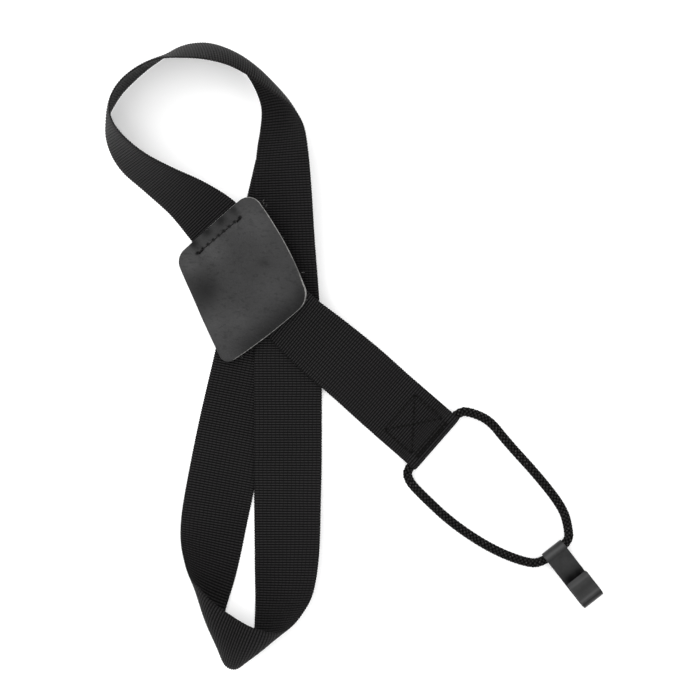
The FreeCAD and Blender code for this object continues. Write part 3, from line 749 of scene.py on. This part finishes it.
def pad_outline(count):
    """Points round the pad's edge, seen from above, an even distance apart."""
    pieces = []
    corners = [(vec(*corner), radius) for corner, radius in PAD_CORNERS]
    joins = []
    for i, (here, radius) in enumerate(corners):
        before = unit(corners[i - 1][0] - here)
        after = unit(corners[(i + 1) % 4][0] - here)
        half = math.acos(np.dot(before, after)) / 2
        centre = here + unit(before + after) * (radius / math.sin(half))
        reach = radius / math.tan(half)
        start, end = here + before * reach, here + after * reach
        a0 = math.atan2(*(start - centre)[1::-1])
        turn = math.pi - 2 * half
        angles = a0 + np.linspace(0, turn, 24)
        pieces.append(centre + radius * np.stack((np.cos(angles), np.sin(angles), 0 * angles), 1))
        joins.append((start, end))
    points = []
    for i in range(4):
        points.append(pieces[i])
        start, end = pieces[i][-1], pieces[(i + 1) % 4][0]
        t = np.linspace(0, 1, 40)[1:-1, None]
        way = unit(end - start)
        out = vec(way[1], -way[0])
        points.append(start + (end - start) * t + out * PAD_SIDE_BOWS[i] * 4 * t * (1 - t))
    points = np.concatenate(points + [pieces[0][:1]])
    place = np.concatenate(([0.0], np.cumsum(np.linalg.norm(np.diff(points, axis=0), axis=1))))
    even = np.linspace(0, place[-1], count, endpoint=False)
    return np.stack([np.interp(even, place, points[:, k]) for k in range(2)], axis=1)


def blurred(grid, reach):
    """A grid of heights, one a millimetre, blurred both ways."""
    half = int(3 * reach)
    kernel = np.exp(-0.5 * (np.arange(-half, half + 1) / reach) ** 2)
    kernel /= kernel.sum()
    for _ in range(2):
        grid = np.pad(grid, ((half, half), (0, 0)), mode="reflect", reflect_type="odd")
        grid = np.stack([np.convolve(column, kernel, "valid") for column in grid.T], axis=0)
    return grid


GRID_ACROSS = np.arange(-75.0, 45.0)
GRID_ALONG = np.arange(-125.0, -15.0)
cuts = [np.interp(GRID_ACROSS, *np.array(points).T) for _, points in PAD_CUTS]
drape = np.stack(
    [np.interp(GRID_ALONG, [cut[0] for cut in PAD_CUTS], column) for column in np.array(cuts).T]
)
drape = blurred(drape, 2.2) + 0.25


def grid_read(p, q):
    """The draped leather's underside over a point across and along the pad."""
    i = np.clip(p - GRID_ACROSS[0], 0, len(GRID_ACROSS) - 1.001)
    j = np.clip(q - GRID_ALONG[0], 0, len(GRID_ALONG) - 1.001)
    a, b = i.astype(int), j.astype(int)
    u, v = i - a, j - b
    return (
        drape[a, b] * (1 - u) * (1 - v)
        + drape[a + 1, b] * u * (1 - v)
        + drape[a, b + 1] * (1 - u) * v
        + drape[a + 1, b + 1] * u * v
    )


def crease(x, y, start, end, depth, width):
    """A soft crease between two points, fading at its ends."""
    start, end = vec(*start), vec(*end)
    way = unit(end - start)
    long = np.linalg.norm(end - start)
    along = (x - start[0]) * way[0] + (y - start[1]) * way[1]
    aside = (x - start[0]) * way[1] - (y - start[1]) * way[0]
    aside = aside + 0.6 * np.sin(along * 0.35)
    fade = smooth_step(along, -2, 3) * (1 - smooth_step(along, long - 3, long + 2))
    return -depth * fade * np.exp(-((aside / width) ** 2))


def pits(x, y):
    """How near a needle hole of the pad's seam is, from 0 to 1. Each hole is drawn out across the seam."""
    way = unit(SEAM_END - SEAM_START)
    total = np.zeros_like(x)
    for i in range(9):
        hole = SEAM_START + (SEAM_END - SEAM_START) * i / 8
        along = (x - hole[0]) * way[0] + (y - hole[1]) * way[1]
        aside = (x - hole[0]) * -way[1] + (y - hole[1]) * way[0]
        reach = 1.1 if i in (0, 8) else 0.85
        total = total + np.exp(-((along / reach) ** 2) - ((aside - 0.2) / 0.95) ** 2)
    return np.minimum(total, 1.0)


# Painted highlights (negative) and painted shade (positive) on the leather: (x, y), reach along x and y, and painted
# shading.
PAD_SHADING_MARKS = [
    (-56.9, 72.7, 12.3, 8.0, -0.3),
    (-78.1, 58.8, 6.7, 6.7, -0.3),
    (-92.7, 50.9, 6.0, 6.0, -0.3),
    (-46.9, 39.2, 8.0, 8.0, -0.2),
    (-78.1, 18.0, 6.0, 10.0, -0.2),
    (-65.0, 20.0, 8.0, 6.0, -0.1),
    (-82.5, 37.0, 8.5, 10.0, 0.45),
    (-50.2, 52.0, 4.0, 3.0, 0.2),
    (-29.0, 38.0, 4.0, 9.0, 0.15),
]


def pad_painted_shading(x, y):
    """Painted light and shade on the leather, 1 where darkest: full painted shade in the needle holes, less on the
    sewn band, plus the painted highlights and shade of the marks and painted shade along the side between the second
    and third corners.
    """
    way = unit(SEAM_END - SEAM_START)
    along = (x - SEAM_START[0]) * way[0] + (y - SEAM_START[1]) * way[1]
    aside = (x - SEAM_START[0]) * -way[1] + (y - SEAM_START[1]) * way[0]
    long = np.linalg.norm(SEAM_END - SEAM_START)
    held = smooth_step(along, -3, 1) * (1 - smooth_step(along, long - 1, long + 3))
    # Painted shade on the sewn band, patchy along the seam.
    patch = 0.5 + 0.5 * np.sin(along * 0.62 + 0.8)
    total = 0.42 + held * smooth_step(aside, -0.5, 1.5) * (0.16 + 0.4 * patch * smooth_step(aside, 1, 6))
    for mark_x, mark_y, reach_x, reach_y, painted_shading in PAD_SHADING_MARKS:
        total = total + painted_shading * np.exp(-(((x - mark_x) / reach_x) ** 2) - ((y - mark_y) / reach_y) ** 2)
    # Painted shade towards the pad's side between its second and third corners.
    inward = -0.605 * (x + 72.0) + 0.796 * (y + 5.4)
    beside = 0.796 * (x + 72.0) + 0.605 * (y + 5.4)
    total = total + 0.42 * (1 - smooth_step(inward, 0, 12)) * smooth_step(beside, 4, 20)
    return np.clip(np.maximum(pits(x, y) * 1.9, total), 0.0, 1.0)


def pad_height(x, y):
    """The leather's underside over a point."""
    p = x * PAD_ACROSS[0] + y * PAD_ACROSS[1]
    q = x * PAD_WAY[0] + y * PAD_WAY[1]
    z = grid_read(p, q)
    way = unit(SEAM_END - SEAM_START)
    long = np.linalg.norm(SEAM_END - SEAM_START)
    along = (x - SEAM_START[0]) * way[0] + (y - SEAM_START[1]) * way[1]
    aside = (x - SEAM_START[0]) * -way[1] + (y - SEAM_START[1]) * way[0]
    held = smooth_step(along, -4, 1) * (1 - smooth_step(along, long - 1, long + 4))
    z = z - 0.55 * held * np.exp(-((aside / 1.5) ** 2))
    z = z + 0.4 * held * np.exp(-(((aside + 3.4) / 1.8) ** 2))
    z = z - 0.3 * held * smooth_step(aside, 0, 2.5)
    z = z - 1.5 * pits(x, y)
    z = z - 1.5 * np.exp(-(((x + 83.0) / 8.5) ** 2) - ((y - 36.5) / 10.0) ** 2)
    z = z + 0.6 * np.exp(-(((x + 58.0) / 11.0) ** 2) - ((y - 58.0) / 13.0) ** 2)
    z = z + 0.5 * np.exp(-(((x + 48.0) / 9.0) ** 2) - ((y - 30.0) / 12.0) ** 2)
    for start, end, depth, width in (
        ((-70, 32), (-52, 37), 0.22, 1.1),
        ((-74, 28), (-58, 22), 0.16, 1.0),
        ((-80, 50), (-77, 33), 0.14, 0.9),
        ((-58, 44), (-44, 30), 0.18, 1.2),
        ((-50, 52), (-38, 34), 0.12, 0.9),
        ((-68, 12), (-48, 18), 0.15, 1.2),
        ((-82, 22), (-66, 16), 0.12, 0.8),
    ):
        z = z + crease(x, y, start, end, depth, width)
    z = z + 0.1 * np.sin(x * 0.31 + 1.3) * np.sin(y * 0.27 + 0.4)
    return np.maximum(z, 0.15)


def leather_pad():
    around = 520
    edge = pad_outline(around)
    heart = edge.mean(axis=0)
    spans = np.linalg.norm(edge - heart, axis=1)
    inner = np.linspace(1.0, 0.015, 104)
    steps_in = [0.0, 0.12, 0.35, 0.7, 1.2]
    shares = [1 - d / spans for d in steps_in]
    shares += [(1 - 1.2 / spans) * share for share in inner[1:]]
    rounding = [0.55, 0.3, 0.12, 0.03, 0.0] + [0.0] * (len(inner) - 1)
    points, rings = [], []

    def ring(share, up, height):
        xy = heart + (edge - heart) * share[:, None]
        x, y = xy[:, 0], xy[:, 1]
        z = pad_height(x, y)
        slope_x = (pad_height(x + 0.4, y) - pad_height(x - 0.4, y)) / 0.8
        slope_y = (pad_height(x, y + 0.4) - pad_height(x, y - 0.4)) / 0.8
        face = unit(np.stack((-slope_x, -slope_y, np.ones_like(x)), axis=1))
        rings.append(len(points))
        points.append(np.stack((x, y, z), axis=1) + face * height)

    for share, sink in list(zip(shares, rounding))[::-1]:
        ring(share, 1, LEATHER_THICK - sink)
    ring(shares[0], 0, LEATHER_THICK * 0.4)
    ring(shares[0], 0, 0.2)
    for share, sink in list(zip(shares, rounding))[:5] + list(zip(shares, rounding))[5::4]:
        ring(share, -1, sink * 0.3)
    faces = tube_faces(len(points), around)
    top_rings = len(shares)
    slots = np.zeros(len(faces), int)
    slots[(top_rings - 1) * around : (top_rings + 2) * around] = 1
    outward = np.roll(edge, -1, axis=0) - np.roll(edge, 1, axis=0)
    bare = outward[:, 1] - 0.35 * outward[:, 0] > 0.25 * np.linalg.norm(outward, axis=1)
    for row in (top_rings - 3, top_rings - 2):
        slots[row * around : (row + 1) * around][bare] = 1
    points = np.concatenate(points)
    pad = mesh_object("leather_pad", points, faces, [LEATHER, RAW_EDGE], slots=slots)
    # Painted light and shade for the leather's colour.
    painted_shading = pad.data.attributes.new("painted_shading", "FLOAT", "POINT")
    painted_shading.data.foreach_set("value", pad_painted_shading(points[:, 0], points[:, 1]))
    return pad


pad = leather_pad()
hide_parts("pad_seam_band", "pad_flap")
lift = next(j for j in frame["joints"] if j["name"] == "pad_lift")
lift_way = vec(-lift["axis"][1], lift["axis"][0])
lift_way = unit(lift_way if np.dot(lift_way, PAD_WAY) > 0 else -lift_way)
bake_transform(pad)

# ---------------------------------------------------------------- stitches


def height_over(objects):
    """A function that finds the highest point of some meshes over a place, in millimetres."""
    bpy.context.view_layer.update()

    def find(x, y):
        best, face = -1e9, Vector((0, 0, 1))
        for thing in objects:
            hit, where, normal, _ = thing.ray_cast(Vector((x, y, 60)) * MM, Vector((0, 0, -1)))
            if hit and where.z / MM > best:
                best, face = where.z / MM, normal
        return vec(x, y, best), np.array(face)

    return find


def stitch_row(find, start, end, count, thick=0.8, fill=0.72, sink=0.14):
    """Stitches from start to end, each a short two-ply thread that dives into the cloth at both ends."""
    points, faces = [], []
    way = unit(end - start)
    pitch = np.linalg.norm(end - start) / count
    around, rings = 8, 13
    for i in range(count):
        middle = start + way * pitch * (i + 0.5 + noise.uniform(-0.06, 0.06))
        aim = way + vec(-way[1], way[0]) * noise.uniform(-0.1, 0.1)
        half = pitch * fill / 2
        base = len(points) * rings * around
        places = np.linspace(-1, 1, rings)
        line, ups = [], []
        for t in places:
            here, face = find(*(middle + aim * half * t)[:2])
            line.append(here)
            ups.append(face)
        line, ups = np.array(line), np.array(ups)
        tops = np.max([np.roll(np.pad(line[:, 2], 3, mode="edge"), k)[3:-3] for k in range(-3, 4)], axis=0)
        line[:, 2] = (line[:, 2] + 2 * np.convolve(np.pad(tops, 2, mode="edge"), np.ones(5) / 5, "valid")) / 3
        lift = thick * 0.5 * (1 - np.abs(places) ** 3) - (sink + thick * 0.8 * np.abs(places) ** 4)
        line = line + ups * lift[:, None]
        run = unit(np.gradient(line, axis=0))
        side = unit(np.cross(run, ups))
        top = np.cross(side, run)
        rows = []
        for j in range(around):
            angle = 2 * math.pi * j / around
            twist = 1 + 0.22 * np.cos(2 * (angle + places * half * 2.6))
            rows.append(
                line
                + side * (thick / 2 * math.cos(angle) * twist)[:, None]
                + top * (thick / 2 * math.sin(angle) * twist)[:, None]
            )
        points.append(np.stack(rows, axis=1).reshape(-1, 3))
        faces += tube_faces(rings, around, offset=base)
    return points, faces


def thread_piece(name, rows, body, node):
    points, faces = [], []
    for row_points, row_faces in rows:
        shift = sum(len(p) for p in points)
        faces += [tuple(k + shift for k in face) for face in row_faces]
        points += row_points
    piece = mesh_object(name, np.concatenate(points), faces, THREAD)
    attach(piece, body)
    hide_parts(node)
    return piece


def on_tail(along, across):
    return TAIL_FOOT + TAIL_WAY * along + TAIL_ACROSS * across


find = height_over([pad])
seam_way = unit(SEAM_END - SEAM_START)
rows = [stitch_row(find, SEAM_START, SEAM_END, 8, thick=0.42, fill=0.8, sink=0.3)]
for place in (SEAM_START + seam_way * 1.6, SEAM_END - seam_way * 1.6):
    aside = vec(-seam_way[1], seam_way[0]) * 0.55
    rows.append(stitch_row(find, place - seam_way * 2.2 - aside, place + seam_way * 2.2 - aside, 1))
thread_piece("pad_thread", rows, "strap", "pad_stitches")

find = height_over([tail_cloth])
far, near, right, left = -23.5, -3.2, 12.8, -13.0
middle_u = (far + near) / 2
rows = [
    stitch_row(find, on_tail(far, left), on_tail(far, right), 9),
    stitch_row(find, on_tail(far, left), on_tail(near, left), 7),
    stitch_row(find, on_tail(far, right), on_tail(near, right), 7),
    stitch_row(find, on_tail(far, left), on_tail(near, right), 11),
    stitch_row(find, on_tail(far, right), on_tail(near, left), 11),
]
thread_piece("box_thread", rows, "tail", "box_stitches")
rows = [
    stitch_row(find, on_tail(along, left), on_tail(along, right), 9, thick=1.0)
    for along in (-1.8, -0.7, 0.3)
]
thread_piece("cord_lock_thread", rows, "tail", "cord_lock_stitches")

find = height_over([bpy.data.objects["webbing_upper_right_cloth"]])
rows = [stitch_row(find, vec(-51.5, y), vec(-27.0, y), 9, thick=0.45, sink=0.6) for y in (101.0, 94.0)]
thread_piece("end_seam_thread", rows, "strap", "end_seam_stitches")

# ---------------------------------------------------------------- loose fibres at the pad's edge


def fibres(places):
    """A few curled hairs, each (x, y, heading, length), standing out of the leather's cut edge."""
    points, faces = [], []
    rings, around = 9, 5
    for x, y, heading, length in places:
        z = float(pad_height(np.array([x]), np.array([y]))[0]) + LEATHER_THICK * 0.6
        t = np.linspace(0, 1, rings)
        bend = noise.uniform(-50, 50)
        angle = np.radians(heading + bend * t)
        step = np.stack((np.cos(angle), np.sin(angle), 0.35 * np.cos(3 * t)), axis=1) * length / rings
        line = vec(x, y, z) + np.cumsum(step, axis=0)
        tangent, side, up = frames_along(line)
        radius = 0.075 * (1 - 0.5 * t)
        angles = 2 * math.pi * np.arange(around) / around
        ring = line[:, None] + side[:, None] * (radius[:, None] * np.cos(angles))[:, :, None]
        ring = ring + up[:, None] * (radius[:, None] * np.sin(angles))[:, :, None]
        faces += tube_faces(rings, around, offset=len(points) * rings * around)
        points.append(ring.reshape(-1, 3))
    return np.concatenate(points), faces


hairs = mesh_object(
    "pad_fibres",
    *fibres([(-50.4, 85.4, 40, 1.8), (-48.6, 82.4, 60, 2.2), (-49.6, 84.0, 80, 1.4), (-29.0, 46.5, 20, 2.0),
             (-27.0, 32.4, -40, 1.7), (-39.5, 66.0, 10, 1.2), (-62.8, 0.6, -60, 1.2)]),
    RAW_EDGE,
)
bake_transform(hairs)

# ---------------------------------------------------------------- hook

HOOK_WIDTH = 13.4
HOOK_THICK = 1.2
HOOK_EYE = vec(112.4, -108.9)
HOOK_WAY = level(-52)
HOOK_ACROSS = level(38)


def hook_strip():
    """The S hook: a flat strip rolled round the cord at one end and curled over itself at the other."""
    eye = CORD_DIAMETER / 2 + 0.4 + HOOK_THICK / 2
    slope, roll, level_bend = math.radians(17), math.radians(295), 8.0
    begin = math.pi / 2 - slope + roll
    drop = eye + eye * math.cos(slope) - level_bend * (1 - math.cos(slope))
    moves = [
        (eye * roll, -1 / eye),
        (drop / math.sin(slope), 0.0),
        (level_bend * slope, 1 / level_bend),
        (6.9, 0.0),
        (2.9 * math.radians(175), 1 / 2.9),
        (11.5, 0.0),
        (2.2 * math.radians(32), 1 / 2.2),
        (1.0, 0.0),
    ]
    step = 0.02
    turn_at = np.cumsum([0.0] + [length for length, _ in moves])
    at = np.arange(0.0, turn_at[-1], step)
    bends = np.array([bend for _, bend in moves])[np.clip(np.searchsorted(turn_at, at, side="right") - 1, 0, 7)]
    angle = begin - math.pi / 2 + np.cumsum(bends * step)
    u = eye * math.cos(begin) + np.cumsum(np.cos(angle) * step)
    z = eye + HOOK_THICK / 2 + eye * math.sin(begin) + np.cumsum(np.sin(angle) * step)
    pick = np.arange(0, len(at), 10)
    ends = np.array([0, 3, 8, len(at) - 9, len(at) - 4, len(at) - 1])
    pick = np.unique(np.concatenate((pick, ends)))
    at, u, z, angle = at[pick], u[pick], z[pick], angle[pick]
    line = HOOK_EYE + HOOK_WAY * u[:, None] + vec(0, 0, 1) * z[:, None]
    normal = vec(0, 0, 1) * np.cos(angle)[:, None] - HOOK_WAY * np.sin(angle)[:, None]
    from_end = np.minimum(at, at[-1] - at)
    corner = 1.1
    pull = np.where(from_end < corner, corner - np.sqrt(np.clip(corner**2 - (corner - from_end) ** 2, 0, None)), 0.0)
    soft = 1 - 0.35 * np.clip(1 - from_end / 0.3, 0, 1)
    groove = 0.4 * np.exp(-(((at - turn_at[5] + 0.7) / 0.6) ** 2))
    groove = groove - 0.18 * np.exp(-(((at - turn_at[5] - 1.0) / 0.8) ** 2))
    line = line + normal * groove[:, None]
    aside = 0.55 * smooth_step(at, turn_at[4], turn_at[5])
    r = 0.36
    arc = np.radians([90, 62, 32, 0, -32, -62, -90])
    across = np.concatenate((np.cos(arc) * r - r, -(np.cos(arc[::-1]) * r - r) * 1.0))
    up = np.concatenate((np.sin(arc) * r, np.sin(arc[::-1]) * r))
    flat = HOOK_THICK / 2 - r
    up = up + np.sign(np.round(up, 6)) * flat
    sides = np.concatenate((np.ones(7), -np.ones(7)))
    half = HOOK_WIDTH / 2 - pull
    rows = []
    for a, b, side in zip(across, up, sides):
        place = side * half + a
        rows.append(line + HOOK_ACROSS * (place + aside)[:, None] + normal * (b * soft)[:, None])
    points = np.stack(rows, axis=1)
    # Painted light and shade along the strip, 0.5 being none: below it painted shade, above it painted highlight.
    shade = 0.5 + 0.0 * at
    for middle, reach, painted_shading in (
        (turn_at[1] - 5.0, 1.6, -0.3),
        (turn_at[1] - 2.0, 0.8, 0.22),
        (turn_at[1] + 0.3, 0.6, -0.15),
        (turn_at[1] + 16.0, 5.0, -0.45),
        (turn_at[5] - 3.0, 1.0, 0.2),
        (turn_at[5] - 1.2, 0.6, -0.5),
        (turn_at[5] + 1.2, 1.0, 0.16),
        (turn_at[6] - 5.0, 2.2, -0.25),
        (turn_at[6] - 0.5, 0.8, 0.16),
    ):
        shade = shade + painted_shading * np.exp(-(((at - middle) / reach) ** 2))
    # The strip's side faces get painted shade as well.
    shade = shade[:, None] - 0.3 * (np.abs(up) < HOOK_THICK / 2 - 0.2)[None, :]
    return points.reshape(-1, 3), tube_faces(len(at), 14), np.clip(shade, 0, 1).ravel()


hook_points, hook_faces, hook_shade = hook_strip()
hook = mesh_object("hook_strip", hook_points, hook_faces, HOOK)
hook.data.attributes.new("shade", "FLOAT", "POINT").data.foreach_set("value", hook_shade)
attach(hook, "hook")
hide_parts("hook")

# ---------------------------------------------------------------- floor and light

floor = mesh_object(
    "floor",
    [(-1500, -1500, 0), (1500, -1500, 0), (1500, 1500, 0), (-1500, 1500, 0)],
    [(0, 1, 2, 3)],
    floor_material(),
)
floor.location.z = -0.0002

world = bpy.data.worlds.new("studio")
bpy.context.scene.world = world
world.use_nodes = True
sky = world.node_tree.nodes
way = sky.new("ShaderNodeTexCoord").outputs["Generated"]
height = sky.new("ShaderNodeSeparateXYZ")
world.node_tree.links.new(way, height.inputs[0])
bands = sky.new("ShaderNodeValToRGB")
world.node_tree.links.new(height.outputs["Z"], bands.inputs[0])
stops = ((0.0, 0.45), (0.5, 0.75), (0.84, 0.7), (0.93, 1.5), (1.0, 1.6))
while len(bands.color_ramp.elements) < len(stops):
    bands.color_ramp.elements.new(0.5)
for element, (place, grey) in zip(bands.color_ramp.elements, stops):
    element.position = place
    element.color = (grey, grey, grey, 1.0)
world.node_tree.links.new(bands.outputs[0], sky["Background"].inputs["Color"])
sky["Background"].inputs["Strength"].default_value = 1.55


def soft_light(name, place, aim, size, power):
    data = bpy.data.lights.new(name, "AREA")
    data.shape = "DISK"
    data.size = size
    data.energy = power
    light = bpy.data.objects.new(name, data)
    light.location = place
    light.rotation_euler = (Vector(aim) - Vector(place)).to_track_quat("-Z", "Y").to_euler()
    bpy.context.scene.collection.objects.link(light)


soft_light("key", (-0.8, 0.9, 1.0), (0, 0, 0), 1.2, 8.0)

bpy.context.scene.view_settings.view_transform = "Standard"
bpy.context.scene.view_settings.look = "None"
